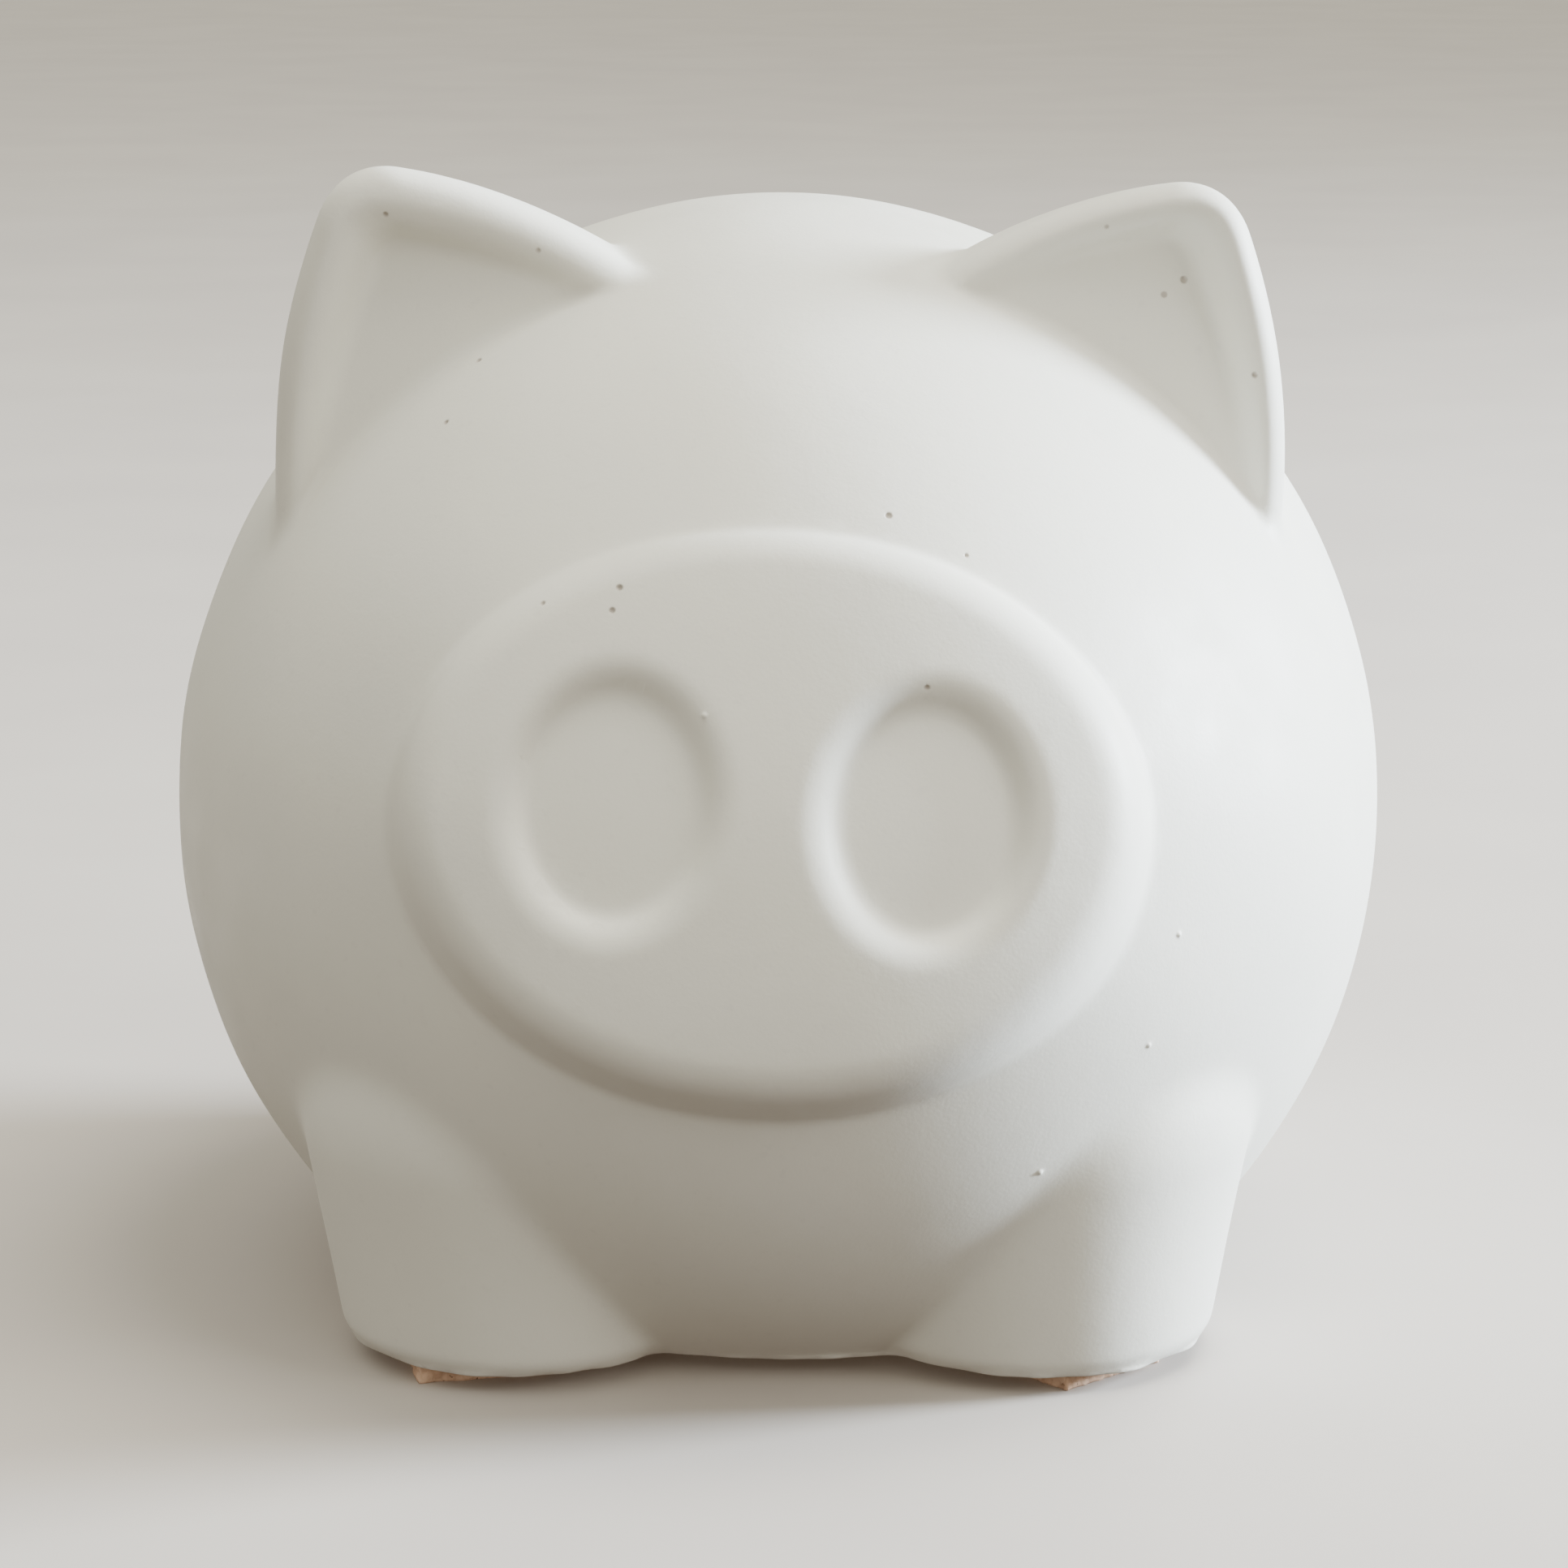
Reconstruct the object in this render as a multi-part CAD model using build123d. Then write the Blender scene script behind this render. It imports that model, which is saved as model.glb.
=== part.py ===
from build123d import *
import math
import os

# A hand-poured hollow piggy bank on four cork pads, with a rubber stopper in its base.
# Millimetres. The bank faces -Y and +Z is up. Everything is drawn about the middle of the
# barrel, and then moved so that the origin is under the middle of the whole bank, on the
# surface that the pads stand on.

# ---- driving dimensions -------------------------------------------------------------------

# barrel: a ball stretched along Y and cut flat underneath
body_diameter = 114.6
body_length = 128.8
base_cut = 14.3               # height of the slice that the flat base takes off the barrel
wall = 5.5
floor_thickness = 7.0

# legs: tapered stubs with ball tops that sink into the barrel
leg_in_from_side = 33.8       # leg's axis inside the barrel's widest point
leg_in_from_end = 31.9        # leg's axis inside the barrel's end
foot_radius = 16.0
foot_edge_round = 2.0
leg_flare = 10.0              # degrees off vertical, wider towards the barrel
leg_height = 18.0             # from the sole up to where the ball top begins

# snout: a drafted oval boss with a domed face, tipped up
snout_width = 60.2
snout_height = 47.2
snout_edge_back = 2.9         # edge of the face behind the barrel's front end
snout_rise = 11.3             # snout's middle above the barrel's middle
snout_root = 16.0             # from the edge of the face back into the wall
snout_draft = 15.0            # degrees, wider towards the barrel
snout_tilt = 17.0             # degrees, face tipped upwards
snout_lean = -3.0             # degrees about the snout's own axis
snout_dome = 3.4              # middle of the face ahead of its edge
snout_edge_round = 2.4

# nostrils: shallow oval hollows with sloping sides
nostril_width = 18.3
nostril_height = 22.4
nostril_slope = 2.0           # how far the floor's outline is inside the mouth's
nostril_depth = 2.2
nostril_spacing = 26.4
nostril_mouth_flare = 1.0     # the sides go on widening this far at the face

# ears: upright leaves whose fronts lie in one plane. Their ends are on the circle in which
# that plane cuts the barrel; angles are in degrees from the bank's side upwards
ear_plane = 24.2              # front of the ears ahead of the barrel's middle
ear_outer_angle = 30.6
ear_tip_angle = 57.6
ear_inner_angle = 75.3
ear_height = 20.6             # tip above the circle, before it is rounded
ear_edge_bulge = 2.2
ear_tip_round = 4.4
ear_tip_thickness = 5.5
ear_root_thickness = 12.5     # where it leaves the barrel's widest circle
ear_sink = 9.0                # how far the ear's root goes into the barrel
ear_cup_shift = (-2.2, -4.6)  # the cup's outline is the ear's, moved by this much
ear_cup_depth = 2.6

# tail: a flat curl lying on the rump
tail_rise = 14.0              # curl's middle above the barrel's middle
tail_curl_radius = 5.6
tail_thickness = 5.0
tail_stand_off = 1.4          # curl's mid-line outside the rump
tail_sweep = 290.0            # degrees

# coin slot along the back
slot_length = 36.0
slot_width = 5.0
slot_behind = 28.0            # slot's middle behind the barrel's middle

# base hole, and the rubber stopper that closes it
hole_diameter = 30.0
seat_ledge = 4.0              # how much wider the seat's radius is than the hole's
seat_depth = 2.6
stopper_fit = 0.05            # radial clearance of the plug in the hole
flange_clearance = 0.8        # radial clearance of the flange in its seat
flange_recess = 0.4           # flange's underside above the base
plug_height = 11.0            # above the seat
plug_taper = 6.0              # degrees, above the straight part that fills the hole
plug_wall = 3.0
grip_width = 5.0
grip_recess = 0.6             # grip bar's underside above the flange's
grip_root = 0.5               # how far the bar's ends and top run into the plug

# cork pads, each with its middle (across, forward) from its leg's axis and its turn in degrees
pad_size = 12.0
pad_thickness = 1.5
pad_places = {
    "front_left": (-4.1, 5.5, 13.0),
    "front_right": (2.7, 6.0, 42.0),
    "rear_left": (-1.5, -2.5, 22.0),
    "rear_right": (4.0, -4.0, 51.0),
}

# ---- worked-out values --------------------------------------------------------------------

body_radius = body_diameter / 2
half_length = body_length / 2
base_z = base_cut - body_radius
leg_x = body_radius - leg_in_from_side
leg_y = half_length - leg_in_from_end
hole_radius = hole_diameter / 2
seat_radius = hole_radius + seat_ledge
seat_z = base_z + seat_depth
floor_z = base_z + floor_thickness
ear_circle = body_radius * math.sqrt(1 - (ear_plane / half_length) ** 2)


def egg(radius, half, bottom_z):
    """Ball stretched along Y, cut flat at bottom_z."""
    ball = scale(Sphere(radius), by=(1, half / radius, 1))
    upper_side = (Align.CENTER, Align.CENTER, Align.MIN)
    return ball & Pos(0, 0, bottom_z) * Box(3 * radius, 3 * half, 3 * radius, align=upper_side)


def leg():
    """Tapered stub with a rounded sole edge and a tangent ball top; its sole is at z = 0."""
    flare = math.radians(leg_flare)
    shoulder = foot_radius + leg_height * math.tan(flare)
    ball = shoulder / math.cos(flare)
    ball_z = leg_height + ball * math.sin(flare)
    bend = math.radians(45 - leg_flare / 2)
    on_ball = (ball * math.cos(bend), ball_z + ball * math.sin(bend))
    top = (0, ball_z + ball)
    with BuildPart() as part:
        with BuildSketch(Plane.XZ) as profile:
            with BuildLine():
                Polyline(top, (0, 0), (foot_radius, 0), (shoulder, leg_height))
                ThreePointArc((shoulder, leg_height), on_ball, top)
            make_face()
            sole_corner = profile.vertices().sort_by(Axis.Y)[:2].sort_by(Axis.X)[-1]
            fillet(sole_corner, foot_edge_round)
        revolve(axis=Axis.Z)
    return part.part


def legs():
    """The four legs, soles in the plane of the base."""
    with BuildPart() as part:
        with Locations((0, 0, base_z)):
            with GridLocations(2 * leg_x, 2 * leg_y, 2, 2):
                add(leg())
    return part.part


def snout_place():
    """The snout's own frame: middle of the edge of its face, with Z along its axis outwards."""
    axis = Vector(0, -1, 0).rotate(Axis.X, -snout_tilt)
    across = Vector(1, 0, 0).rotate(Axis((0, 0, 0), axis), snout_lean)
    middle = Vector(0, snout_edge_back - half_length, snout_rise)
    return Plane(origin=middle, x_dir=across, z_dir=axis).location


def snout():
    """Drafted oval boss, its face part of a ball."""
    draft = math.tan(math.radians(snout_draft))
    half_height = snout_height / 2
    dome_radius = (half_height**2 + snout_dome**2) / (2 * snout_dome)
    with BuildPart() as part:
        for forward in (snout_dome, -snout_root):
            with BuildSketch(Plane.XY.offset(forward)):
                Ellipse(snout_width / 2 - forward * draft, half_height - forward * draft)
        loft(ruled=True)
        with Locations((0, 0, snout_dome - dome_radius)):
            Sphere(dome_radius, rotation=(90, 0, 0), mode=Mode.INTERSECT)
        rim = part.edges().sort_by(Axis.Z)[-1]
        fillet(rim, snout_edge_round)
    return snout_place() * part.part


def nostrils():
    """The two sloping hollows to take out of the snout's face."""
    mouth = (nostril_width / 2 + nostril_mouth_flare, nostril_height / 2 + nostril_mouth_flare)
    floor = (nostril_width / 2 - nostril_slope, nostril_height / 2 - nostril_slope)
    floor_forward = snout_dome - nostril_mouth_flare - nostril_depth
    with BuildPart() as part:
        for side in (-1, 1):
            for (half_wide, half_high), forward in ((mouth, snout_dome), (floor, floor_forward)):
                with BuildSketch(Plane.XY.offset(forward)):
                    with Locations((side * nostril_spacing / 2, 0)):
                        Ellipse(half_wide, half_high)
            loft(ruled=True)
    return snout_place() * part.part


def around_ear_circle(angle, height):
    """Point (across, up) at an angle on the barrel's circle at the ears, so far above it."""
    turn = math.radians(angle)
    return ((ear_circle + height) * math.cos(turn), (ear_circle + height) * math.sin(turn))


def ear_outline():
    """Leaf outline in the XZ plane, closed through points inside the barrel."""
    inner_end = around_ear_circle(ear_inner_angle, 0)
    tip = around_ear_circle(ear_tip_angle, ear_height)
    outer_end = around_ear_circle(ear_outer_angle, 0)
    sunk_outer = around_ear_circle(ear_outer_angle, -ear_sink)
    sunk_inner = around_ear_circle(ear_inner_angle, -ear_sink)
    with BuildSketch() as outline:
        with BuildLine():
            SagittaArc(inner_end, tip, ear_edge_bulge)
            SagittaArc(tip, outer_end, ear_edge_bulge)
            Polyline(outer_end, sunk_outer, sunk_inner, inner_end)
        make_face()
        fillet(outline.vertices().sort_by(Axis.Y)[-1], ear_tip_round)
    return outline.sketch


def right_ear():
    """Leaf with a cup in its front; its back is a cone about Y, so it thins towards the tip."""
    tip_from_axis = ear_circle + ear_height
    thinning = (ear_root_thickness - ear_tip_thickness) / (tip_from_axis - body_radius)
    axis_thickness = ear_tip_thickness + tip_from_axis * thinning
    back = [
        (0, -ear_plane),
        (axis_thickness / thinning, -ear_plane),
        (0, axis_thickness - ear_plane),
    ]
    front = Plane.XZ.offset(ear_plane)
    outline = ear_outline()
    leaf = extrude(front * outline, amount=-axis_thickness)
    leaf &= revolve(make_face(Polyline(*back, close=True)), axis=Axis.Y)
    cup_outline = Pos(*ear_cup_shift) * outline
    return leaf - extrude(front * cup_outline, amount=-ear_cup_depth)


def tail():
    """Open ring with ball ends, lying on the rump."""
    up = tail_rise / body_radius
    on_rump = Vector(0, half_length * math.sqrt(1 - up**2), tail_rise)
    outward = Vector(0, on_rump.Y / half_length**2, on_rump.Z / body_radius**2).normalized()
    plane = Plane(origin=on_rump + outward * tail_stand_off, x_dir=(-1, 0, 0), z_dir=outward)
    turn = Axis(plane.origin, plane.z_dir)
    start = plane.origin + plane.x_dir * tail_curl_radius
    with BuildPart() as part:
        with BuildSketch(Plane(origin=start, x_dir=plane.x_dir, z_dir=plane.y_dir)):
            Circle(tail_thickness / 2)
        revolve(axis=turn, revolution_arc=tail_sweep)
        for angle in (0, tail_sweep):
            with Locations(plane.origin + (plane.x_dir * tail_curl_radius).rotate(turn, angle)):
                Sphere(tail_thickness / 2)
    return part.part


def coin_slot():
    """Upright slot with round ends, from the cavity out through the back."""
    with BuildPart() as part:
        with BuildSketch(Plane.XY):
            with Locations((0, slot_behind)):
                SlotOverall(slot_length, slot_width, rotation=90)
        extrude(amount=body_radius + wall)
    return part.part


def base_hole():
    """Hole through the floor with a wider seat for the stopper's flange."""
    with BuildPart() as part:
        with Locations((0, 0, base_z)):
            upward = (Align.CENTER, Align.CENTER, Align.MIN)
            Cylinder(seat_radius, seat_depth, align=upward)
            Cylinder(hole_radius, 2 * floor_thickness, align=upward)
    return part.part


def body_shell():
    """The whole casting: hollow barrel, legs, snout, ears and tail in one piece."""
    ear = right_ear()
    solid = egg(body_radius, half_length, base_z) + legs() + snout() + ear + mirror(ear, Plane.YZ)
    solid = solid + tail()
    hollow = egg(body_radius - wall, half_length - wall, floor_z)
    return solid - hollow - nostrils() - coin_slot() - base_hole()


def stopper():
    """One rubber moulding: flange, hollow tapered plug, and a grip bar across the hollow."""
    collar = floor_thickness - seat_depth
    plug_radius = hole_radius - stopper_fit
    top_radius = plug_radius - (plug_height - collar) * math.tan(math.radians(plug_taper))
    flange_radius = seat_radius - flange_clearance
    flange_z = base_z + flange_recess
    hollow_radius = top_radius - plug_wall
    ceiling_z = seat_z + plug_height - plug_wall
    outline = [
        (0, ceiling_z),
        (hollow_radius, ceiling_z),
        (hollow_radius, flange_z),
        (flange_radius, flange_z),
        (flange_radius, seat_z),
        (plug_radius, seat_z),
        (plug_radius, seat_z + collar),
        (top_radius, seat_z + plug_height),
        (0, seat_z + plug_height),
    ]
    with BuildPart() as part:
        with BuildSketch(Plane.XZ):
            with BuildLine():
                Polyline(*outline, close=True)
            make_face()
        revolve(axis=Axis.Z)
        with Locations((0, 0, flange_z + grip_recess)):
            grip_length = 2 * (hollow_radius + grip_root)
            grip_height = ceiling_z + grip_root - flange_z - grip_recess
            Box(grip_length, grip_width, grip_height, align=(Align.CENTER, Align.CENTER, Align.MIN))
    return part.part


def foot_pad(corner):
    """Square of cork sheet under the foot at that corner."""
    across, forward, turn = pad_places[corner]
    foot_x = leg_x if corner.endswith("right") else -leg_x
    foot_y = -leg_y if corner.startswith("front") else leg_y
    place = Location((foot_x + across, foot_y - forward, base_z), (0, 0, turn))
    return place * Box(pad_size, pad_size, pad_thickness, align=(Align.CENTER, Align.CENTER, Align.MAX))


pieces = {"body_shell": body_shell(), "base_stopper": stopper()}
for corner in pad_places:
    pieces[f"foot_pad_{corner}"] = foot_pad(corner)

middle_y = pieces["body_shell"].bounding_box().center().Y
to_origin = Location((0, -middle_y, pad_thickness - base_z))
print("barrel's middle at y =", round(-middle_y, 3), "z =", round(pad_thickness - base_z, 3))

os.makedirs("parts", exist_ok=True)
for name, piece in pieces.items():
    export_step(piece.moved(to_origin), f"parts/{name}.step")
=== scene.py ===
import math

import bmesh
import bpy
import numpy as np
from mathutils import Euler, Matrix, Vector


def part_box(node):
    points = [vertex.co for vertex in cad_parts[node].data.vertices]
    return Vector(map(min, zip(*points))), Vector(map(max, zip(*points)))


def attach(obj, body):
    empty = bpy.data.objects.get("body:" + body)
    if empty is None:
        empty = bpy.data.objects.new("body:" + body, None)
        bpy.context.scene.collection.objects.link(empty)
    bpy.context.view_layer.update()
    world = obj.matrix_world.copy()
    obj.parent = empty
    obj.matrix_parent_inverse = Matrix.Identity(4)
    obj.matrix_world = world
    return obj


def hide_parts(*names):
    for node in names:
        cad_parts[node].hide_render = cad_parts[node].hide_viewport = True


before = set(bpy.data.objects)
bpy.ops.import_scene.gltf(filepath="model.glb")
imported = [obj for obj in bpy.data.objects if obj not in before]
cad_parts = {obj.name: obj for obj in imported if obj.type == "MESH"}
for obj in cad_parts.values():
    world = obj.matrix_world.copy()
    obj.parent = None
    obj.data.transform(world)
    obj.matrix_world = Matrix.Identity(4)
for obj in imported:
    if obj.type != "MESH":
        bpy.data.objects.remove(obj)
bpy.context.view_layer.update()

# The casting is shaped in millimetres about the middle of its barrel, and then put in place.
MM = 0.001

# ---- sizes of the casting, in millimetres --------------------------------------------------

shell_low, shell_high = (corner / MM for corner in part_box("body_shell"))
stopper_low, stopper_high = (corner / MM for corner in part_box("base_stopper"))

BASE_CUT = 14.3
BARREL_RADIUS = (shell_high.x - shell_low.x) / 2
BARREL_HALF_LENGTH = 64.4
BARREL_RADII = np.array([BARREL_RADIUS, BARREL_HALF_LENGTH, BARREL_RADIUS])
BARREL_MIDDLE = Vector((0, (stopper_low.y + stopper_high.y) / 2, shell_low.z + BARREL_RADIUS - BASE_CUT))
BASE = BASE_CUT - BARREL_RADIUS
BASE_EDGE_ROUND = 0.35
WALL = 5.5
FLOOR_THICKNESS = 7.0
HOLLOW_FLOOR_ROUND = 5.0
HOLLOW_EDGE_ROUND = 1.0

# What hand pouring and trimming leave: a slight unevenness all over, and a lip round the base.
UNEVENNESS = 0.16
LIP_WIDTH = 0.36
LIP_HEIGHT = 0.5

LEG_X = BARREL_RADIUS - 33.8
LEG_Y = BARREL_HALF_LENGTH - 31.9
FOOT_RADIUS = 16.0
LEG_HEIGHT = 18.0
LEG_FLARE = math.radians(10)
LEG_CREASE = 1.1
SOLE_ROUND = 2.2

SNOUT_WIDTH = 60.2
SNOUT_HEIGHT = 47.2
SNOUT_MIDDLE = np.array([-0.5, 2.9 - BARREL_HALF_LENGTH, 11.3])
SNOUT_TURN = Euler((math.radians(-17), math.radians(3), 0), "YXZ")
SNOUT_DRAFT = math.tan(math.radians(15))
SNOUT_ROOT = 16.0
SNOUT_DOME = 3.4
SNOUT_DOME_RADIUS = (SNOUT_HEIGHT**2 / 4 + SNOUT_DOME**2) / (2 * SNOUT_DOME)
SNOUT_RIM = 2.6
SNOUT_CREASE = 0.55

NOSTRIL_SPACING = 26.4
NOSTRIL_WIDTH = 18.3
NOSTRIL_HEIGHT = 22.4
NOSTRIL_SLOPE = 0.75           # how far each side leans out for each millimetre outwards
NOSTRIL_SLANT = 0.75           # brings a distance from the sloping sides back to about true
NOSTRIL_FLARE_END = 2.0        # above the face, where the sides stop widening
NOSTRIL_DEPTH = 2.2
NOSTRIL_FLOOR_ROUND = 0.8
NOSTRIL_EDGE_ROUND = 1.5

EAR_PLANE = 24.2
EAR_CIRCLE = BARREL_RADIUS * math.sqrt(1 - (EAR_PLANE / BARREL_HALF_LENGTH) ** 2)
EAR_THICKNESS = {"tip": 5.5, "root": 12.5}
EAR_BULGE = 2.2
EAR_TIP_ROUND = 5.0
EAR_FRONT_ROUND = 3.4
EAR_BACK_ROUND = 4.5
EAR_CREASE = 1.0
CUP_TILT = math.tan(math.radians(12))
CUP_TOP_SLOPE = 0.6            # how far the cup's walls lean in for each millimetre of depth
CUP_SIDE_SLOPE = 0.8
CUP_SLANT = 0.8                # brings a distance from the leaning walls back to about true
CUP_CORNER_ROUND = 2.6
CUP_FLOOR_ROUND = 1.0
CUP_EDGE_ROUND = 1.6
# The two ears were modelled by hand and differ a little: angles from the side upwards, height of
# the tip, and widths of the rims along the top and down the side.
EARS = {
    "left": {"outer": 30.6, "tip": 57.8, "inner": 77.6, "height": 20.6, "top_rim": 4.3, "side_rim": 3.6},
    "right": {"outer": 30.6, "tip": 56.2, "inner": 75.3, "height": 20.2, "top_rim": 2.7, "side_rim": 3.0},
}

TAIL_RISE = 14.0
TAIL_SWEEP = math.radians(290)
TAIL_STEPS = 30
TAIL_REACH = 12.0
TAIL_STEP_BLEND = 0.8
TAIL_CREASE = 1.2
# At each end of the tail: radius of the curl, its height off the rump, and the tail's own radius.
TAIL_ROOT = np.array([5.9, 0.3, 2.8])
TAIL_TIP = np.array([4.8, 2.5, 1.7])

SLOT_BEHIND = 28.0
SLOT_LENGTH = 36.0
SLOT_WIDTH = 5.0
SLOT_EDGE_ROUND = 1.8

HOLE_RADIUS = 15.0
HOLE_EDGE_ROUND = 0.6
SEAT_RADIUS = 19.0
SEAT_DEPTH = 2.6

PLUG_RADIUS = 14.95
PLUG_HEIGHT = 11.0
PLUG_TAPER = math.tan(math.radians(6))
PLUG_WALL = 3.0
FLANGE_RADIUS = 18.2
FLANGE_RECESS = 0.4
RUBBER_EDGE_ROUND = 0.35
BEAD_INSIDE_FLANGE = 1.7       # the bead's outer edge inside the flange's
BEAD_WIDTH = 1.5
BEAD_SLOPE = 0.3
BEAD_HEIGHT = 0.35
GRIP_WIDTH = 5.0
GRIP_RECESS = 0.6
GRIP_EDGE_ROUND = 1.0
GRIP_ENDS_SUNK = 0.6
GRIP_TOP_SUNK = 0.8

PAD_SIZE = 12.0
PAD_THICKNESS = 1.5
PAD_TURNS = {"front_left": 13, "front_right": 42, "rear_left": 22, "rear_right": 51}    # degrees
PAD_CUTS_UP = 5
PAD_CUTS_ACROSS = 35
PAD_CRUMBLE = 0.32
PAD_RIM = 0.07                 # share of a pad's half width that crumbles
PAD_UNEVENNESS = 0.05          # share of a pad's thickness

# Air holes and specks of glaze that hand casting leaves: across, up from the barrel's middle,
# and radius. They are sunk into, or stand on, the front of the casting.
AIR_HOLES = [
    (-13.2, 29.5, 0.25),
    (-13.8, 27.7, 0.23),
    (-19.7, 28.0, 0.17),
    (9.5, 34.7, 0.27),
    (16.1, 31.4, 0.16),
    (12.6, 21.6, 0.20),
    (-26.7, 45.0, 0.22),
    (-29.3, 40.2, 0.22),
    (-35.0, 57.8, 0.20),
    (-21.4, 54.6, 0.16),
    (36.6, 51.7, 0.28),
    (34.8, 50.4, 0.23),
    (42.9, 43.4, 0.22),
    (29.4, 56.7, 0.14),
]
SPECKS = [(34.7, -1.7, 0.15), (32.2, -11.4, 0.13), (22.8, -22.3, 0.17), (-6.0, 19.6, 0.13)]
MORE_AIR_HOLES = 60            # scattered all round; those at the front are left out
AIR_HOLE_EDGE_ROUND = 0.12
SPECK_CREASE = 0.3


# ---- the casting's form, as signed distances -----------------------------------------------


def soft_join(a, b, blend):
    """Two forms run together, with the crease between them filled."""
    near = np.maximum(blend - np.abs(a - b), 0) / blend
    return np.minimum(a, b) - near**2 * blend / 4


def soft_keep(a, b, blend):
    """What two forms share, with the edge between them rounded."""
    return -soft_join(-a, -b, blend)


def length(p):
    return np.sqrt((p**2).sum(axis=-1))


def stretched_ball(p, radii):
    """Distance from a ball stretched to those radii."""
    scaled = p / radii
    reach = length(scaled)
    return reach * (reach - 1) / np.maximum(length(scaled / radii), 1e-9)


def waves(p, longest, shortest, count, seed):
    """Smooth unevenness of about -1 to 1, from waves that run every way."""
    rng = np.random.default_rng(seed)
    total = np.zeros(len(p))
    for _ in range(count):
        direction = rng.normal(size=3)
        direction /= np.linalg.norm(direction)
        pitch = rng.uniform(shortest, longest)
        total += np.sin(p @ direction * (2 * math.pi / pitch) + rng.uniform(0, 2 * math.pi))
    return total / math.sqrt(count * 2)


def leg(p):
    """Tapered stub with a ball top, mirrored to all four corners."""
    out = np.hypot(np.abs(p[:, 0]) - LEG_X, np.abs(p[:, 1]) - LEG_Y)
    up = p[:, 2] - BASE
    shoulder = FOOT_RADIUS + LEG_HEIGHT * math.tan(LEG_FLARE)
    ball = shoulder / math.cos(LEG_FLARE)
    ball_up = LEG_HEIGHT + ball * math.sin(LEG_FLARE)
    side = (out - FOOT_RADIUS - up * math.tan(LEG_FLARE)) * math.cos(LEG_FLARE)
    top = np.hypot(out, up - ball_up) - ball
    above = out * math.sin(LEG_FLARE) + (up - ball_up) * math.cos(LEG_FLARE) > 0
    return soft_keep(np.where(above, top, side), -up, SOLE_ROUND)


def in_snout(p):
    """Points in the snout's own directions: across, up, and out of its face."""
    turn = np.array(SNOUT_TURN.to_matrix())
    local = (p - SNOUT_MIDDLE) @ turn
    return local[:, 0], local[:, 2], -local[:, 1]


def oval(across, up, half_width, half_height):
    reach = np.hypot(across / half_width, up / half_height)
    slope = np.hypot(across / half_width**2, up / half_height**2)
    return reach * (reach - 1) / np.maximum(slope, 1e-9)


def snout(p):
    """Drafted oval boss with a domed face and two hollow nostrils."""
    across, up, out = in_snout(p)
    half_width = SNOUT_WIDTH / 2 - out * SNOUT_DRAFT
    half_height = SNOUT_HEIGHT / 2 - out * SNOUT_DRAFT
    side = oval(across, up, half_width, half_height)
    dome = np.sqrt(across**2 + up**2 + (out - SNOUT_DOME + SNOUT_DOME_RADIUS) ** 2) - SNOUT_DOME_RADIUS
    boss = soft_keep(side, dome, SNOUT_RIM)
    boss = np.maximum(boss, -out - SNOUT_ROOT)
    opened = np.minimum(dome, NOSTRIL_FLARE_END) * NOSTRIL_SLOPE
    hollow = oval(
        np.abs(across) - NOSTRIL_SPACING / 2,
        up,
        NOSTRIL_WIDTH / 2 + opened,
        NOSTRIL_HEIGHT / 2 + opened,
    )
    hollow = soft_keep(hollow * NOSTRIL_SLANT, -dome - NOSTRIL_DEPTH, NOSTRIL_FLOOR_ROUND)
    return boss, hollow


def around_ear_circle(angle, height):
    """Point (across, up) at an angle on the barrel's circle at the ears, so far above it."""
    turn = math.radians(angle)
    return np.array([math.cos(turn), math.sin(turn)]) * (EAR_CIRCLE + height)


def disc_through(start, end, bulge):
    """Middle and radius of the disc whose edge bulges that far out between two points."""
    chord = end - start
    half = np.linalg.norm(chord) / 2
    radius = (half**2 + bulge**2) / (2 * bulge)
    outward = np.array([-chord[1], chord[0]]) / (2 * half)
    return (start + end) / 2 - outward * (radius - bulge), radius


def one_ear(p, shape):
    """Leaf with a rounded rim and a tilted cup in its front, at the right of the barrel."""
    inner = around_ear_circle(shape["inner"], 0)
    tip = around_ear_circle(shape["tip"], shape["height"])
    outer = around_ear_circle(shape["outer"], 0)
    place = np.stack([p[:, 0], p[:, 2]], axis=1)
    top_middle, top_radius = disc_through(inner, tip, EAR_BULGE)
    side_middle, side_radius = disc_through(tip, outer, EAR_BULGE)
    top = length(place - top_middle) - top_radius
    side = length(place - side_middle) - side_radius
    behind = p[:, 1] + EAR_PLANE
    tip_from_axis = EAR_CIRCLE + shape["height"]
    thinning = (EAR_THICKNESS["root"] - EAR_THICKNESS["tip"]) / (tip_from_axis - BARREL_RADIUS)
    thickness = EAR_THICKNESS["tip"] + (tip_from_axis - length(place)) * thinning
    leaf = soft_keep(top, side, EAR_TIP_ROUND)
    leaf = soft_keep(leaf, (behind - thickness) / math.hypot(1, thinning), EAR_BACK_ROUND)
    leaf = soft_keep(leaf, -behind, EAR_FRONT_ROUND)
    chord = (outer - inner) / np.linalg.norm(outer - inner)
    from_head = (place - inner) @ np.array([-chord[1], chord[0]])
    cup_floor = behind - from_head * CUP_TILT
    top_wall = top + shape["top_rim"] + behind * CUP_TOP_SLOPE
    side_wall = side + shape["side_rim"] + behind * CUP_SIDE_SLOPE
    walls = soft_keep(top_wall, side_wall, CUP_CORNER_ROUND) * CUP_SLANT
    cup = soft_keep(cup_floor, walls, CUP_FLOOR_ROUND)
    return soft_keep(leaf, -cup, CUP_EDGE_ROUND)


def ears(p):
    """Both ears, each from its own side's shape."""
    form = np.empty(len(p))
    for side, sign in (("left", -1), ("right", 1)):
        here = p[:, 0] * sign >= 0
        form[here] = one_ear(p[here] * (sign, 1, 1), EARS[side])
    return form


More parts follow.
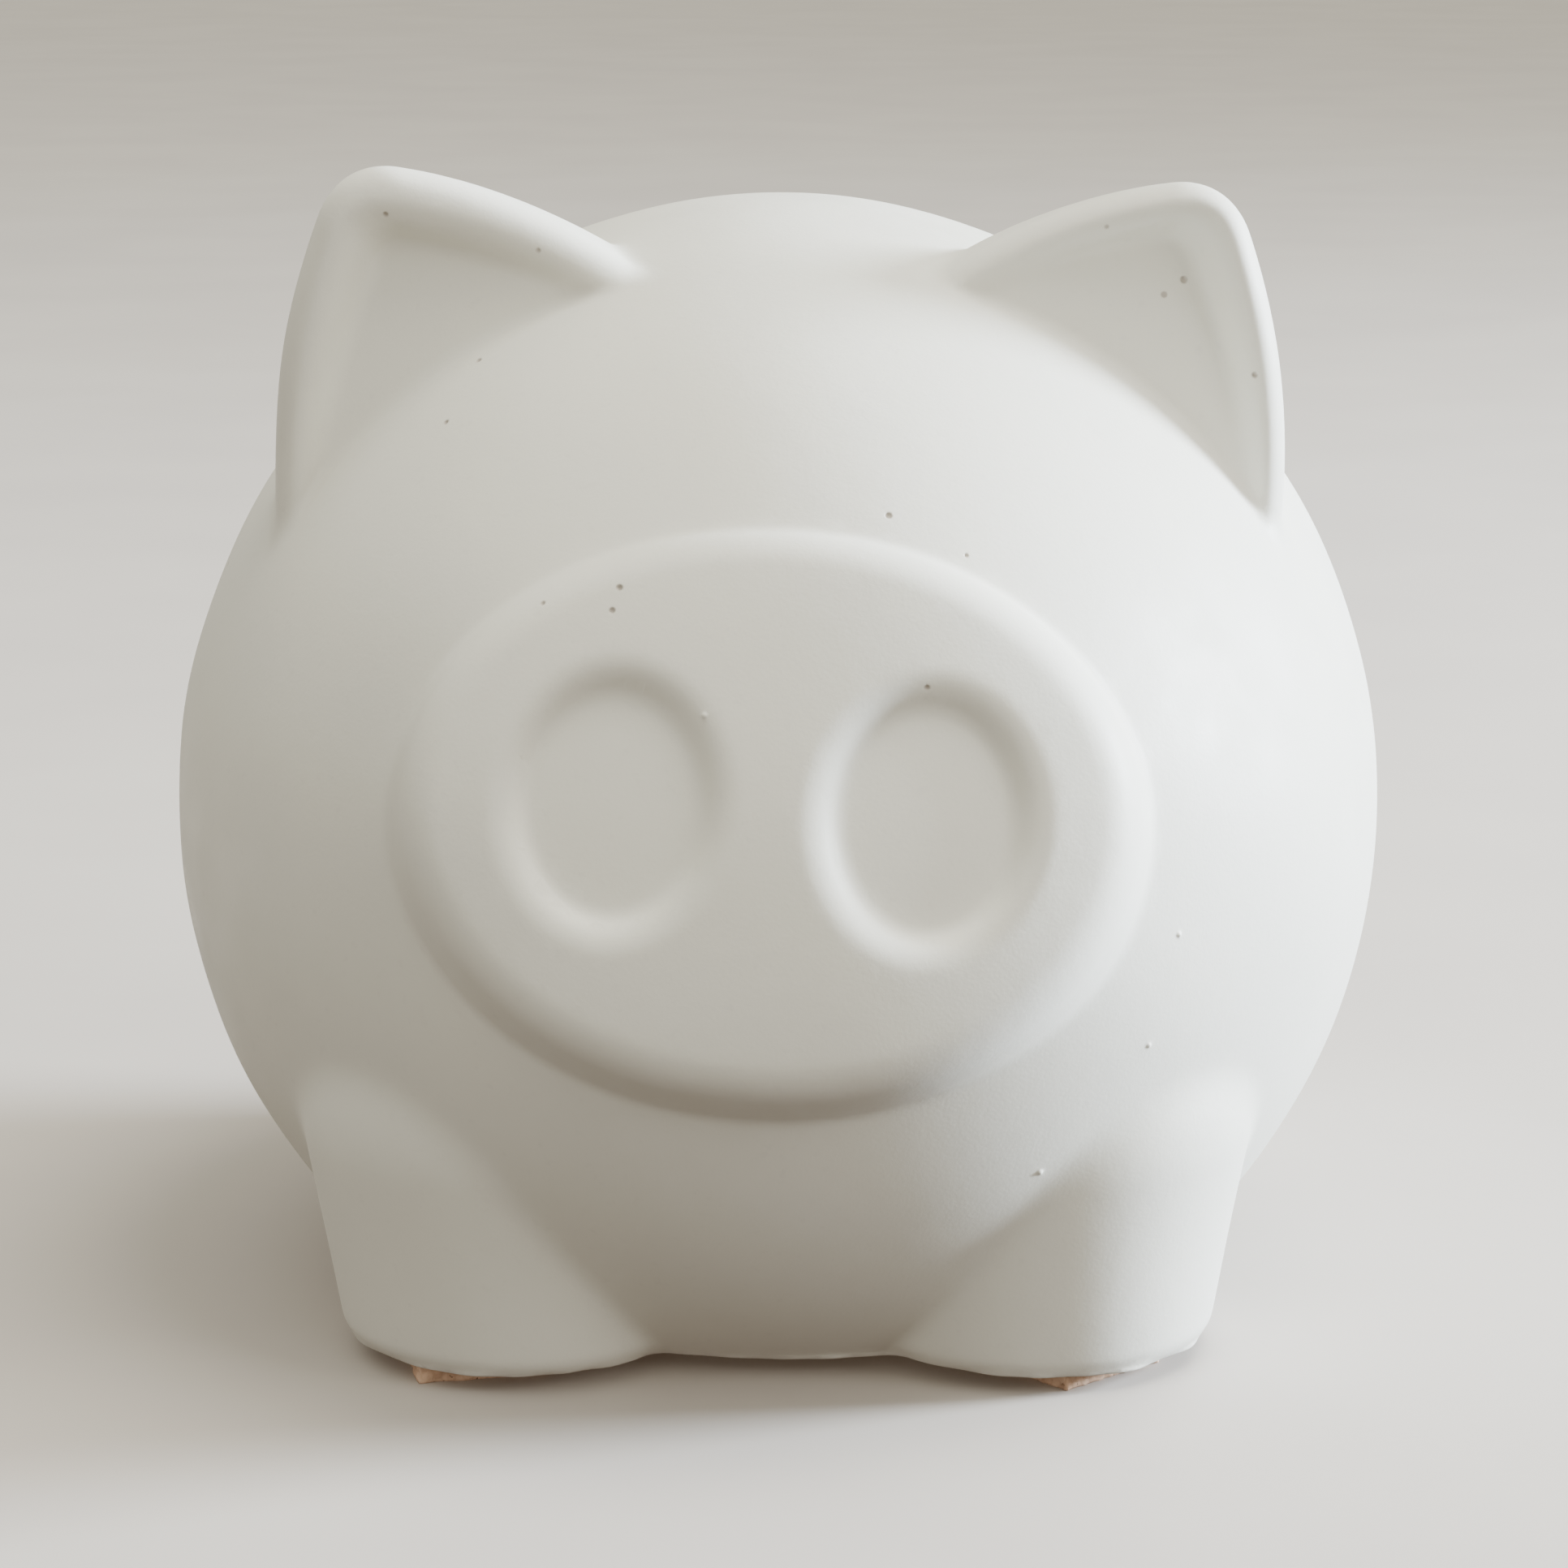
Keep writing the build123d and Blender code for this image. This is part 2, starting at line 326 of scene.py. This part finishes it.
def rump_place():
    """Middle of the tail's curl on the rump, and the directions across, up and out there."""
    up = TAIL_RISE / BARREL_RADIUS
    place = Vector((0, BARREL_HALF_LENGTH * math.sqrt(1 - up**2), TAIL_RISE))
    out = Vector((0, place.y / BARREL_HALF_LENGTH**2, place.z / BARREL_RADIUS**2)).normalized()
    across = Vector((-1, 0, 0))
    return place, across, out.cross(across), out


def tail(p):
    """A tapering open curl on the rump, its tip a little further out than its root."""
    place, across, up, out = rump_place()
    distance = length(p - np.array(place)) - TAIL_REACH
    near = distance < TAIL_REACH / 3
    q = p[near]
    curl = np.full(len(q), 99.0)
    for step in range(TAIL_STEPS + 1):
        share = step / TAIL_STEPS
        angle = TAIL_SWEEP * share
        radius, lift, thickness = TAIL_ROOT + (TAIL_TIP - TAIL_ROOT) * share
        around = across * (radius * math.cos(angle))
        point = place + around + up * (radius * math.sin(angle)) + out * lift
        ball = length(q - np.array(point)) - thickness
        curl = soft_join(curl, ball, TAIL_STEP_BLEND)
    distance[near] = curl
    return distance


def base_lip(p):
    """The thin uneven lip that trimming leaves along the bottom edge."""
    up = (p[:, 2] - BASE) / LIP_HEIGHT
    ragged = np.clip(0.45 + 0.5 * waves(p, longest=9, shortest=2.5, count=10, seed=21), 0, 1)
    return LIP_WIDTH * np.exp(-(up**2)) * ragged


def outside(p):
    """The casting's outer form, before anything is hollowed out of it."""
    barrel = stretched_ball(p, BARREL_RADII)
    boss, nostril = snout(p)
    form = soft_join(barrel, boss, SNOUT_CREASE)
    form = soft_join(form, ears(p), EAR_CREASE)
    form = soft_join(form, leg(p), LEG_CREASE)
    form = soft_join(form, tail(p), TAIL_CREASE)
    uneven = UNEVENNESS * waves(p, longest=46, shortest=17, count=16, seed=5)
    form = form - uneven - base_lip(p)
    form = soft_keep(form, -nostril, NOSTRIL_EDGE_ROUND)
    return soft_keep(form, BASE - p[:, 2], BASE_EDGE_ROUND)


def inside(p):
    """The hollow, the coin slot, and the base hole with its seat."""
    x, y, z = p.T
    above_floor = BASE + FLOOR_THICKNESS - z
    hollow = soft_keep(stretched_ball(p, BARREL_RADII - WALL), above_floor, HOLLOW_FLOOR_ROUND)
    along = np.maximum(np.abs(y - SLOT_BEHIND) - (SLOT_LENGTH - SLOT_WIDTH) / 2, 0)
    slot = np.maximum(np.hypot(x, along) - SLOT_WIDTH / 2, -z)
    from_middle = np.hypot(x, y)
    hole = np.maximum(from_middle - HOLE_RADIUS, z)
    seat = np.maximum(from_middle - SEAT_RADIUS, z - BASE - SEAT_DEPTH)
    return hollow, slot, hole, seat


def casting(p):
    """Signed distance from the surface of the whole casting, negative inside the material."""
    form = outside(p)
    hollow, slot, hole, seat = inside(p)
    form = soft_keep(form, -hollow, HOLLOW_EDGE_ROUND)
    form = soft_keep(form, -slot, SLOT_EDGE_ROUND)
    form = soft_keep(form, -hole, HOLE_EDGE_ROUND)
    return soft_keep(form, -seat, HOLE_EDGE_ROUND)


# ---- air holes and specks ------------------------------------------------------------------


def meet_casting(starts, ways):
    """Points where straight lines from outside first meet the casting."""
    steps, longest, caution = 80, 4.0, 0.7
    p = starts.copy()
    for _ in range(steps):
        p += ways * np.minimum(outside(p), longest)[:, None] * caution
    return p


def from_front(marks):
    """Places and radii of marks that lie straight behind their places in front view."""
    clear_in_front = -90.0
    starts = np.array([(across, clear_in_front, up) for across, up, _ in marks])
    places = meet_casting(starts, np.array([[0.0, 1.0, 0.0]]))
    return places, np.array([radius for *_, radius in marks])


def scattered(count):
    """Places and radii of marks spread over the back and sides of the casting."""
    rng = np.random.default_rng(11)
    ways = rng.normal(size=(count, 3))
    ways /= length(ways)[:, None]
    clear_all_round = 110
    places = meet_casting(ways * clear_all_round, -ways)
    behind_face = places[:, 1] > -10
    return places[behind_face], rng.uniform(0.12, 0.26, count)[behind_face]


def cells_of(p):
    """Number of the 2 mm cell that each point is in, so that few points are tested at a mark."""
    cell, to_positive, cells_in_row = 2, 100, 300
    return (np.floor(p / cell) + to_positive) @ np.array([1, cells_in_row, cells_in_row**2])


front_holes, front_radii = from_front(AIR_HOLES)
more_holes, more_radii = scattered(MORE_AIR_HOLES)
hole_places = np.concatenate([front_holes, more_holes])
hole_radii = np.concatenate([front_radii, more_radii])
speck_places, speck_radii = from_front(SPECKS)
mark_places = np.concatenate([hole_places, speck_places])
mark_radii = np.concatenate([hole_radii, speck_radii])
mark_reach = (-0.9, 0, 0.9)
around = np.array([(x, y, z) for x in mark_reach for y in mark_reach for z in mark_reach])
marked_cells = np.unique(cells_of((mark_places[:, None] + around).reshape(-1, 3)))


def in_holes(p):
    """How deep each point is inside the nearest air hole, negative outside them all."""
    return (hole_radii - length(p[:, None] - hole_places)).max(axis=1)


def marked_casting(p):
    """The casting with its air holes sunk into it and its specks standing on it."""
    form = casting(p)
    near = np.isin(cells_of(p), marked_cells)
    if near.any():
        q = p[near]
        specks = (length(q[:, None] - speck_places) - speck_radii).min(axis=1)
        holed = soft_keep(form[near], in_holes(q), AIR_HOLE_EDGE_ROUND)
        form[near] = soft_join(holed, specks, SPECK_CREASE)
    return form


# ---- meshes --------------------------------------------------------------------------------


def points_of(bm):
    """The mesh's vertices in millimetres about the barrel's middle."""
    return np.array([v.co[:] for v in bm.verts]) / MM - np.array(BARREL_MIDDLE)


def put_points(bm, p):
    """Moves the mesh's vertices to those points."""
    for v, co in zip(bm.verts, (p + np.array(BARREL_MIDDLE)) * MM):
        v.co = co


def slope_of(p, form):
    """Direction in which the distance grows fastest."""
    step = 0.02
    slope = np.stack([form(p + offset) - form(p - offset) for offset in np.eye(3) * step], axis=1)
    return slope / (2 * step)


def settle(bm, form, passes):
    """Moves every vertex straight onto the surface of the form."""
    least_steep, longest_move = 0.2, 0.8
    p = points_of(bm)
    for _ in range(passes):
        slope = slope_of(p, form)
        steep = np.maximum((slope**2).sum(axis=1), least_steep)
        move = -slope * (form(p) / steep)[:, None]
        p += move * np.minimum(1, longest_move / np.maximum(length(move), 1e-9))[:, None]
    put_points(bm, p)


def divide(bm, form, allowed, shortest):
    """Splits the edges whose middles are off the surface, and the long ones at a mark."""
    coarser_inside = 8
    ends = np.array([[v.co[:] for v in e.verts] for e in bm.edges]) / MM - np.array(BARREL_MIDDLE)
    middle = ends.mean(axis=1)
    long = length(ends[:, 0] - ends[:, 1])
    off = np.abs(form(middle))
    hidden = stretched_ball(middle, BARREL_RADII - WALL + 1) < 0
    off[hidden] /= coarser_inside
    chosen = (off > allowed) & (long > shortest)
    for place, radius in zip(mark_places, mark_radii):
        reach = length(middle - place)
        chosen |= (reach < radius * 2 + long / 2) & (long > max(radius * 0.6, 0.15))
    edges = [e for e, wanted in zip(bm.edges, chosen) if wanted]
    bmesh.ops.subdivide_edges(bm, edges=edges, cuts=1, use_single_edge=True)
    bmesh.ops.triangulate(bm, faces=[f for f in bm.faces if len(f.verts) > 3])


def mesh_object(name, bm, material, smooth=True):
    mesh = bpy.data.meshes.new(name)
    bm.to_mesh(mesh)
    bm.free()
    for face in mesh.polygons:
        face.use_smooth = smooth
    mesh.materials.append(material)
    obj = bpy.data.objects.new(name, mesh)
    bpy.context.scene.collection.objects.link(obj)
    return obj


def modified_bmesh(obj):
    """A bmesh of an object with its modifiers applied; the object itself is removed."""
    mesh = bpy.data.meshes.new_from_object(obj.evaluated_get(bpy.context.evaluated_depsgraph_get()))
    bm = bmesh.new()
    bm.from_mesh(mesh)
    bpy.data.objects.remove(obj)
    bpy.data.meshes.remove(mesh)
    return bm


def even_skin(source, voxel):
    """A bmesh of evenly spaced faces over a copy of a node's mesh; the voxel is in millimetres."""
    bm = bmesh.new()
    bm.from_mesh(source.data)
    bmesh.ops.remove_doubles(bm, verts=bm.verts, dist=1e-6)
    rough = mesh_object("rough", bm, None)
    remesh = rough.modifiers.new("even", "REMESH")
    remesh.mode = "VOXEL"
    remesh.voxel_size = voxel * MM
    bpy.context.view_layer.update()
    return modified_bmesh(rough)


def paint(obj, name, values):
    """Stores one number at each vertex, for the material to read."""
    layer = obj.data.attributes.new(name, "FLOAT", "POINT")
    layer.data.foreach_set("value", values.astype(np.float32))


def relax(bm, factor):
    """Moves every vertex that share of the way to the middle of its neighbours."""
    bmesh.ops.smooth_vert(
        bm, verts=bm.verts, factor=factor, use_axis_x=True, use_axis_y=True, use_axis_z=True,
    )


def make_casting(material):
    """The one-piece casting: an even skin, settled on its form and divided where it bends."""
    bm = even_skin(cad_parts["body_shell"], voxel=1.5)
    bmesh.ops.triangulate(bm, faces=bm.faces[:])
    for _ in range(3):
        relax(bm, 0.4)
        settle(bm, casting, 3)
    for allowed, shortest in ((0.05, 0.7), (0.02, 0.45), (0.012, 0.3), (0.01, 0.2)):
        divide(bm, marked_casting, allowed, shortest)
        settle(bm, marked_casting, 4)
    bmesh.ops.recalc_face_normals(bm, faces=bm.faces)
    p = points_of(bm)
    out = slope_of(p, casting)
    out /= np.maximum(length(out), 0.3)[:, None]
    # How far each vertex lies in a crease, for the painted shade that darkens the creases.
    reach = 1.6
    crease = np.clip(1 - casting(p + out * reach) / reach, 0, 1)
    obj = mesh_object("piggy_casting", bm, material)
    paint(obj, "crease", crease)
    # Painted shade: 1 inside an air hole, where the material colours the hole dark.
    paint(obj, "air_hole_shade", np.clip(in_holes(p) / 0.15 + 0.9, 0, 1))
    paint(obj, "sole", np.clip((BASE + 0.5 - p[:, 2]) / 0.4, 0, 1))
    return obj


def ring_outline(points):
    """A bmesh turned from an outline of (out, up) points about the stopper's axis."""
    bm = bmesh.new()
    middle = Vector((BARREL_MIDDLE.x, BARREL_MIDDLE.y, 0))
    verts = [bm.verts.new((middle + Vector((out, 0, up))) * MM) for out, up in points]
    edges = [bm.edges.new(pair) for pair in zip(verts, verts[1:])]
    bmesh.ops.spin(
        bm, geom=verts + edges, axis=(0, 0, 1), cent=middle * MM, dvec=(0, 0, 0),
        angle=2 * math.pi, steps=96, use_merge=True, use_duplicate=False,
    )
    bmesh.ops.remove_doubles(bm, verts=bm.verts, dist=1e-6)
    bmesh.ops.recalc_face_normals(bm, faces=bm.faces)
    return bm


def round_edges(bm, radius, sharper_than=35):
    """Rounds every edge where the surface turns by more than that many degrees."""
    least_turn = math.radians(sharper_than)
    sharp = [e for e in bm.edges if len(e.link_faces) == 2 and e.calc_face_angle() > least_turn]
    bmesh.ops.bevel(
        bm, geom=sharp, offset=radius * MM, segments=3, profile=0.5,
        affect="EDGES", material=-1, clamp_overlap=True,
    )


def make_stopper(material):
    """The rubber moulding: flange with a bead, hollow tapered plug, and a grip bar."""
    base = stopper_low.z - FLANGE_RECESS
    seat = base + SEAT_DEPTH
    flange = stopper_low.z
    collar = FLOOR_THICKNESS - SEAT_DEPTH
    top_radius = PLUG_RADIUS - (PLUG_HEIGHT - collar) * PLUG_TAPER
    hollow = top_radius - PLUG_WALL
    ceiling = seat + PLUG_HEIGHT - PLUG_WALL
    bead_out = FLANGE_RADIUS - BEAD_INSIDE_FLANGE
    bead_in = bead_out - BEAD_WIDTH
    bm = ring_outline([
        (0, ceiling),
        (hollow, ceiling),
        (hollow, flange),
        (bead_in, flange),
        (bead_in + BEAD_SLOPE, flange + BEAD_HEIGHT),
        (bead_out - BEAD_SLOPE, flange + BEAD_HEIGHT),
        (bead_out, flange),
        (FLANGE_RADIUS, flange),
        (FLANGE_RADIUS, seat),
        (PLUG_RADIUS, seat),
        (PLUG_RADIUS, seat + collar),
        (top_radius, seat + PLUG_HEIGHT),
        (0, seat + PLUG_HEIGHT),
    ])
    round_edges(bm, RUBBER_EDGE_ROUND)
    stopper = mesh_object("rubber_stopper", bm, material)
    bar = bmesh.new()
    bottom = flange + GRIP_RECESS
    top = ceiling + GRIP_TOP_SUNK
    size = Vector((2 * (hollow + GRIP_ENDS_SUNK), GRIP_WIDTH, top - bottom))
    place = Vector((BARREL_MIDDLE.x, BARREL_MIDDLE.y, (bottom + top) / 2))
    block = Matrix.Translation(place * MM) @ Matrix.Diagonal((*size * MM, 1))
    bmesh.ops.create_cube(bar, size=1, matrix=block)
    round_edges(bar, GRIP_EDGE_ROUND)
    grip = mesh_object("grip", bar, material)
    join = stopper.modifiers.new("grip", "BOOLEAN")
    join.operation = "UNION"
    join.solver = "EXACT"
    join.object = grip
    bpy.context.view_layer.update()
    bm = modified_bmesh(stopper)
    bpy.data.objects.remove(grip)
    return mesh_object("rubber_stopper", bm, material)


def make_pad(corner, seed, material):
    """A square cut by hand from cork sheet, with crumbled edges."""
    low, high = (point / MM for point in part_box(f"foot_pad_{corner}"))
    bm = bmesh.new()
    bmesh.ops.create_cube(bm, size=1)
    upright = [e for e in bm.edges if abs(e.verts[0].co.z - e.verts[1].co.z) > 0.5]
    bmesh.ops.subdivide_edges(bm, edges=upright, cuts=PAD_CUTS_UP, use_grid_fill=True)
    flat = [e for e in bm.edges if abs(e.verts[0].co.z - e.verts[1].co.z) < 0.01]
    bmesh.ops.subdivide_edges(bm, edges=flat, cuts=PAD_CUTS_ACROSS, use_grid_fill=True)
    p = np.array([v.co[:] for v in bm.verts]) * (PAD_SIZE, PAD_SIZE, PAD_THICKNESS)
    rim = np.clip((np.abs(p[:, :2]) / (PAD_SIZE / 2) - (1 - PAD_RIM)) / PAD_RIM, 0, 1)
    crumble = np.clip(0.35 + 0.6 * waves(p, longest=3.2, shortest=0.9, count=26, seed=seed), 0, 1)
    p[:, :2] -= np.sign(p[:, :2]) * rim * crumble[:, None] * PAD_CRUMBLE
    dents = np.clip(waves(p, longest=2.6, shortest=0.8, count=22, seed=seed + 50), 0, 1)
    p[:, 2] *= 1 - PAD_UNEVENNESS * dents
    turn = math.radians(PAD_TURNS[corner])
    across, back = p[:, 0].copy(), p[:, 1].copy()
    p[:, 0] = across * math.cos(turn) - back * math.sin(turn)
    p[:, 1] = across * math.sin(turn) + back * math.cos(turn)
    for v, co in zip(bm.verts, (p + np.array((low + high) / 2)) * MM):
        v.co = co
    relax(bm, 0.3)
    return mesh_object(f"cork_pad_{corner}", bm, material)


# ---- materials -----------------------------------------------------------------------------


class Finish:
    """A material's nodes, with short ways to add and join them."""

    # A mix node has a set of inputs and an output for each kind of value; these are for colours.
    MIX_A, MIX_B, MIX_RESULT = 6, 7, 2

    def __init__(self, name, roughness):
        self.material = bpy.data.materials.new(name)
        self.material.use_nodes = True
        self.nodes = self.material.node_tree.nodes
        self.links = self.material.node_tree.links
        self.shader = self.nodes["Principled BSDF"]
        self.shader.inputs["Roughness"].default_value = roughness
        self.place = self.nodes.new("ShaderNodeTexCoord").outputs["Object"]

    def fill(self, socket, value):
        """Links another node's output to a socket, or sets a number or colour on it."""
        if isinstance(value, bpy.types.NodeSocket):
            self.links.new(value, socket)
        else:
            socket.default_value = (*value, 1) if isinstance(value, tuple) else value

    def noise(self, pitch, detail=3.0, stretch=(1, 1, 1)):
        """Cloudy pattern whose blotches are about `pitch` millimetres across."""
        turned = self.nodes.new("ShaderNodeMapping")
        turned.inputs["Scale"].default_value = stretch
        self.links.new(self.place, turned.inputs["Vector"])
        node = self.nodes.new("ShaderNodeTexNoise")
        self.links.new(turned.outputs["Vector"], node.inputs["Vector"])
        node.inputs["Scale"].default_value = 1 / (pitch * MM)
        node.inputs["Detail"].default_value = detail
        return node.outputs["Fac"]

    def cells(self, pitch, output="Color"):
        """Rounded grains about `pitch` millimetres across."""
        node = self.nodes.new("ShaderNodeTexVoronoi")
        self.links.new(self.place, node.inputs["Vector"])
        node.inputs["Scale"].default_value = 1 / (pitch * MM)
        return node.outputs[output]

    def painted(self, name):
        """A number stored at each vertex by paint."""
        node = self.nodes.new("ShaderNodeAttribute")
        node.attribute_name = name
        return node.outputs["Fac"]

    def spread(self, value, low, high, to_low=0.0, to_high=1.0):
        """Stretches low to high over to_low to to_high."""
        node = self.nodes.new("ShaderNodeMapRange")
        self.fill(node.inputs["Value"], value)
        for name, number in zip(("From Min", "From Max", "To Min", "To Max"), (low, high, to_low, to_high)):
            node.inputs[name].default_value = number
        return node.outputs["Result"]

    def mix(self, share, a, b):
        """Colour a where share is 0, and colour b where it is 1."""
        node = self.nodes.new("ShaderNodeMix")
        node.data_type = "RGBA"
        self.fill(node.inputs["Factor"], share)
        self.fill(node.inputs[self.MIX_A], a)
        self.fill(node.inputs[self.MIX_B], b)
        return node.outputs[self.MIX_RESULT]

    def times(self, a, b):
        node = self.nodes.new("ShaderNodeMath")
        node.operation = "MULTIPLY"
        self.fill(node.inputs[0], a)
        self.fill(node.inputs[1], b)
        return node.outputs["Value"]

    def color(self, value):
        self.links.new(value, self.shader.inputs["Base Color"])

    def roughness(self, value):
        self.links.new(value, self.shader.inputs["Roughness"])

    def relief(self, *layers):
        """Small relief: each layer is a pattern and its height in millimetres."""
        normal = None
        for pattern, height in layers:
            node = self.nodes.new("ShaderNodeBump")
            node.inputs["Distance"].default_value = height * MM
            self.links.new(pattern, node.inputs["Height"])
            if normal:
                self.links.new(normal, node.inputs["Normal"])
            normal = node.outputs["Normal"]
        self.links.new(normal, self.shader.inputs["Normal"])


def cast_finish():
    """Warm white matte casting: faint cloudiness, fine grain, painted shade in creases and air holes, a raw
    sole.
    """
    cast = Finish("matte_white_casting", 0.56)
    cloud = cast.spread(cast.noise(24, 4), 0.35, 0.65)
    color = cast.mix(cloud, (0.800, 0.785, 0.712), (0.775, 0.764, 0.700))
    speckle = cast.spread(cast.noise(1.1, 2), 0.62, 0.80)
    color = cast.mix(cast.times(speckle, 0.35), color, (0.70, 0.68, 0.63))
    # Painted shade: creases are darkened towards a warm brown, in patches.
    in_crease = cast.spread(cast.painted("crease"), 0.15, 0.9)
    patchy = cast.spread(cast.noise(3, 3), 0.3, 0.6, 0.5, 1.0)
    dust_and_crease_shade = cast.times(in_crease, patchy)
    color = cast.mix(cast.times(dust_and_crease_shade, 0.55), color, (0.60, 0.55, 0.47))
    raw = cast.mix(cast.noise(0.9, 4), (0.69, 0.67, 0.62), (0.77, 0.755, 0.71))
    color = cast.mix(cast.painted("sole"), color, raw)
    # Painted shade: the air holes are coloured dark brown-grey.
    cast.color(cast.mix(cast.painted("air_hole_shade"), color, (0.43, 0.385, 0.335)))
    cast.roughness(cast.spread(cast.noise(7, 4), 0.3, 0.7, 0.48, 0.62))
    grain = cast.noise(0.35, 2)
    swirls = cast.noise(2.6, 4)
    rubbed = cast.times(cast.noise(0.8, 3, (0.12, 1, 1)), cast.painted("sole"))
    cast.relief((grain, 0.012), (swirls, 0.03), (rubbed, 0.12))
    return cast.material


def rubber_finish():
    """Grey-beige moulded rubber with a fine matte grain and a few dusty specks."""
    rubber = Finish("moulded_rubber", 0.5)
    cloud = rubber.spread(rubber.noise(5, 4), 0.35, 0.7)
    color = rubber.mix(cloud, (0.60, 0.58, 0.545), (0.53, 0.51, 0.475))
    dust_and_crease_shade = rubber.spread(rubber.noise(0.8, 3), 0.58, 0.72)
    rubber.color(rubber.mix(rubber.times(dust_and_crease_shade, 0.4), color, (0.70, 0.68, 0.64)))
    rubber.roughness(rubber.spread(rubber.noise(3, 3), 0.3, 0.7, 0.42, 0.58))
    rubber.relief((rubber.noise(0.25, 2), 0.012), (rubber.noise(1.6, 3), 0.02))
    return rubber.material


def cork_finish():
    """Cork sheet: pressed granules of several browns, with dark bark flecks and open pores."""
    cork = Finish("cork_sheet", 0.85)
    granule = cork.cells(0.85)
    color = cork.mix(granule, (0.60, 0.385, 0.255), (0.76, 0.53, 0.38))
    flecks = cork.spread(cork.noise(0.7, 3), 0.62, 0.68)
    color = cork.mix(flecks, color, (0.22, 0.12, 0.07))
    seams = cork.spread(cork.cells(0.85, "Distance"), 0.45, 0.8)
    cork.color(cork.mix(cork.times(seams, 0.5), color, (0.40, 0.23, 0.14)))
    cork.relief((cork.cells(0.85, "Distance"), -0.10), (cork.noise(0.3, 3), 0.08))
    return cork.material


# ---- the pieces ----------------------------------------------------------------------------


def place_piece(piece, node, body):
    """Stands a finished piece in for its node, on its body."""
    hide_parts(node)
    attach(piece, body)


place_piece(make_casting(cast_finish()), "body_shell", "bank")
place_piece(make_stopper(rubber_finish()), "base_stopper", "stopper")
cork = cork_finish()
for seed, corner in enumerate(PAD_TURNS, start=70):
    place_piece(make_pad(corner, seed, cork), f"foot_pad_{corner}", "bank")


# ---- floor, light and camera ---------------------------------------------------------------

FLOOR_HALF_WIDTH = 4.0         # metres
CAMERA_SENSOR = 36             # millimetres, as the lens is
CAMERA_LENS = 111.8
CAMERA_DISTANCE = 0.47         # metres
CAMERA_AIM = Vector((0.55, 0, 0.8))    # millimetres from the barrel's middle


def make_floor():
    """Plain pale floor. It throws no light back up onto the casting."""
    finish = Finish("pale_floor", 0.6)
    cloud = finish.spread(finish.noise(60, 5), 0.35, 0.65)
    finish.color(finish.mix(cloud, (0.52, 0.475, 0.44), (0.55, 0.505, 0.465)))
    bm = bmesh.new()
    bmesh.ops.create_grid(bm, x_segments=1, y_segments=1, size=FLOOR_HALF_WIDTH)
    floor = mesh_object("studio_floor", bm, finish.material, smooth=False)
    floor.visible_diffuse = False


def towards(azimuth, elevation):
    """Direction from the bank to a lamp or camera; azimuth 0 is straight in front of the snout."""
    turn, lift = math.radians(azimuth), math.radians(elevation)
    return Vector((math.sin(turn) * math.cos(lift), -math.cos(turn) * math.cos(lift), math.sin(lift)))


def aim(obj, target):
    """Turns a lamp or camera to face a point."""
    obj.rotation_euler = (Vector(target) - obj.location).to_track_quat("-Z", "Y").to_euler()


def area_light(name, way, distance, size, power, color):
    """A round soft lamp that faces the barrel's middle from that way."""
    light = bpy.data.lights.new(name, "AREA")
    light.shape = "DISK"
    light.size = size
    light.energy = power
    light.color = color
    obj = bpy.data.objects.new(name, light)
    bpy.context.scene.collection.objects.link(obj)
    obj.location = BARREL_MIDDLE * MM + way * distance
    aim(obj, BARREL_MIDDLE * MM)


def make_camera():
    """The camera, a little above the snout and straight in front of it."""
    camera = bpy.data.cameras.new("camera")
    camera.sensor_width = CAMERA_SENSOR
    camera.lens = CAMERA_LENS
    obj = bpy.data.objects.new("camera", camera)
    bpy.context.scene.collection.objects.link(obj)
    middle = BARREL_MIDDLE * MM
    obj.location = middle + towards(0.15, 12) * CAMERA_DISTANCE
    aim(obj, middle + CAMERA_AIM * MM)
    bpy.context.scene.camera = obj


def studio_sky(below, horizon, zenith):
    """Soft light from all round, brightest from straight above and dim from below."""
    world = bpy.data.worlds.new("studio")
    world.use_nodes = True
    nodes, links = world.node_tree.nodes, world.node_tree.links
    way = nodes.new("ShaderNodeSeparateXYZ")
    links.new(nodes.new("ShaderNodeTexCoord").outputs["Generated"], way.inputs["Vector"])
    blend = nodes.new("ShaderNodeValToRGB")
    links.new(way.outputs["Z"], blend.inputs["Fac"])
    ramp = blend.color_ramp.elements
    ramp[0].color = (*below, 1)
    ramp[1].color = (*zenith, 1)
    ramp.new(0.04).color = (*horizon, 1)
    links.new(blend.outputs["Color"], nodes["Background"].inputs["Color"])
    bpy.context.scene.world = world


make_floor()
area_light("window", towards(99, 14), 1.1, 0.34, 70, (0.80, 0.90, 1.0))
area_light("ceiling", towards(80, 73), 1.2, 0.7, 12.5, (1.0, 0.985, 0.91))
area_light("room", towards(62, 22), 1.4, 0.6, 5.5, (1.0, 0.97, 0.90))
area_light("door", towards(-25, 8), 1.4, 0.6, 2.4, (1.0, 0.97, 0.89))
studio_sky(below=(0.13, 0.092, 0.065), horizon=(0.56, 0.535, 0.455), zenith=(1.32, 1.30, 1.12))
make_camera()
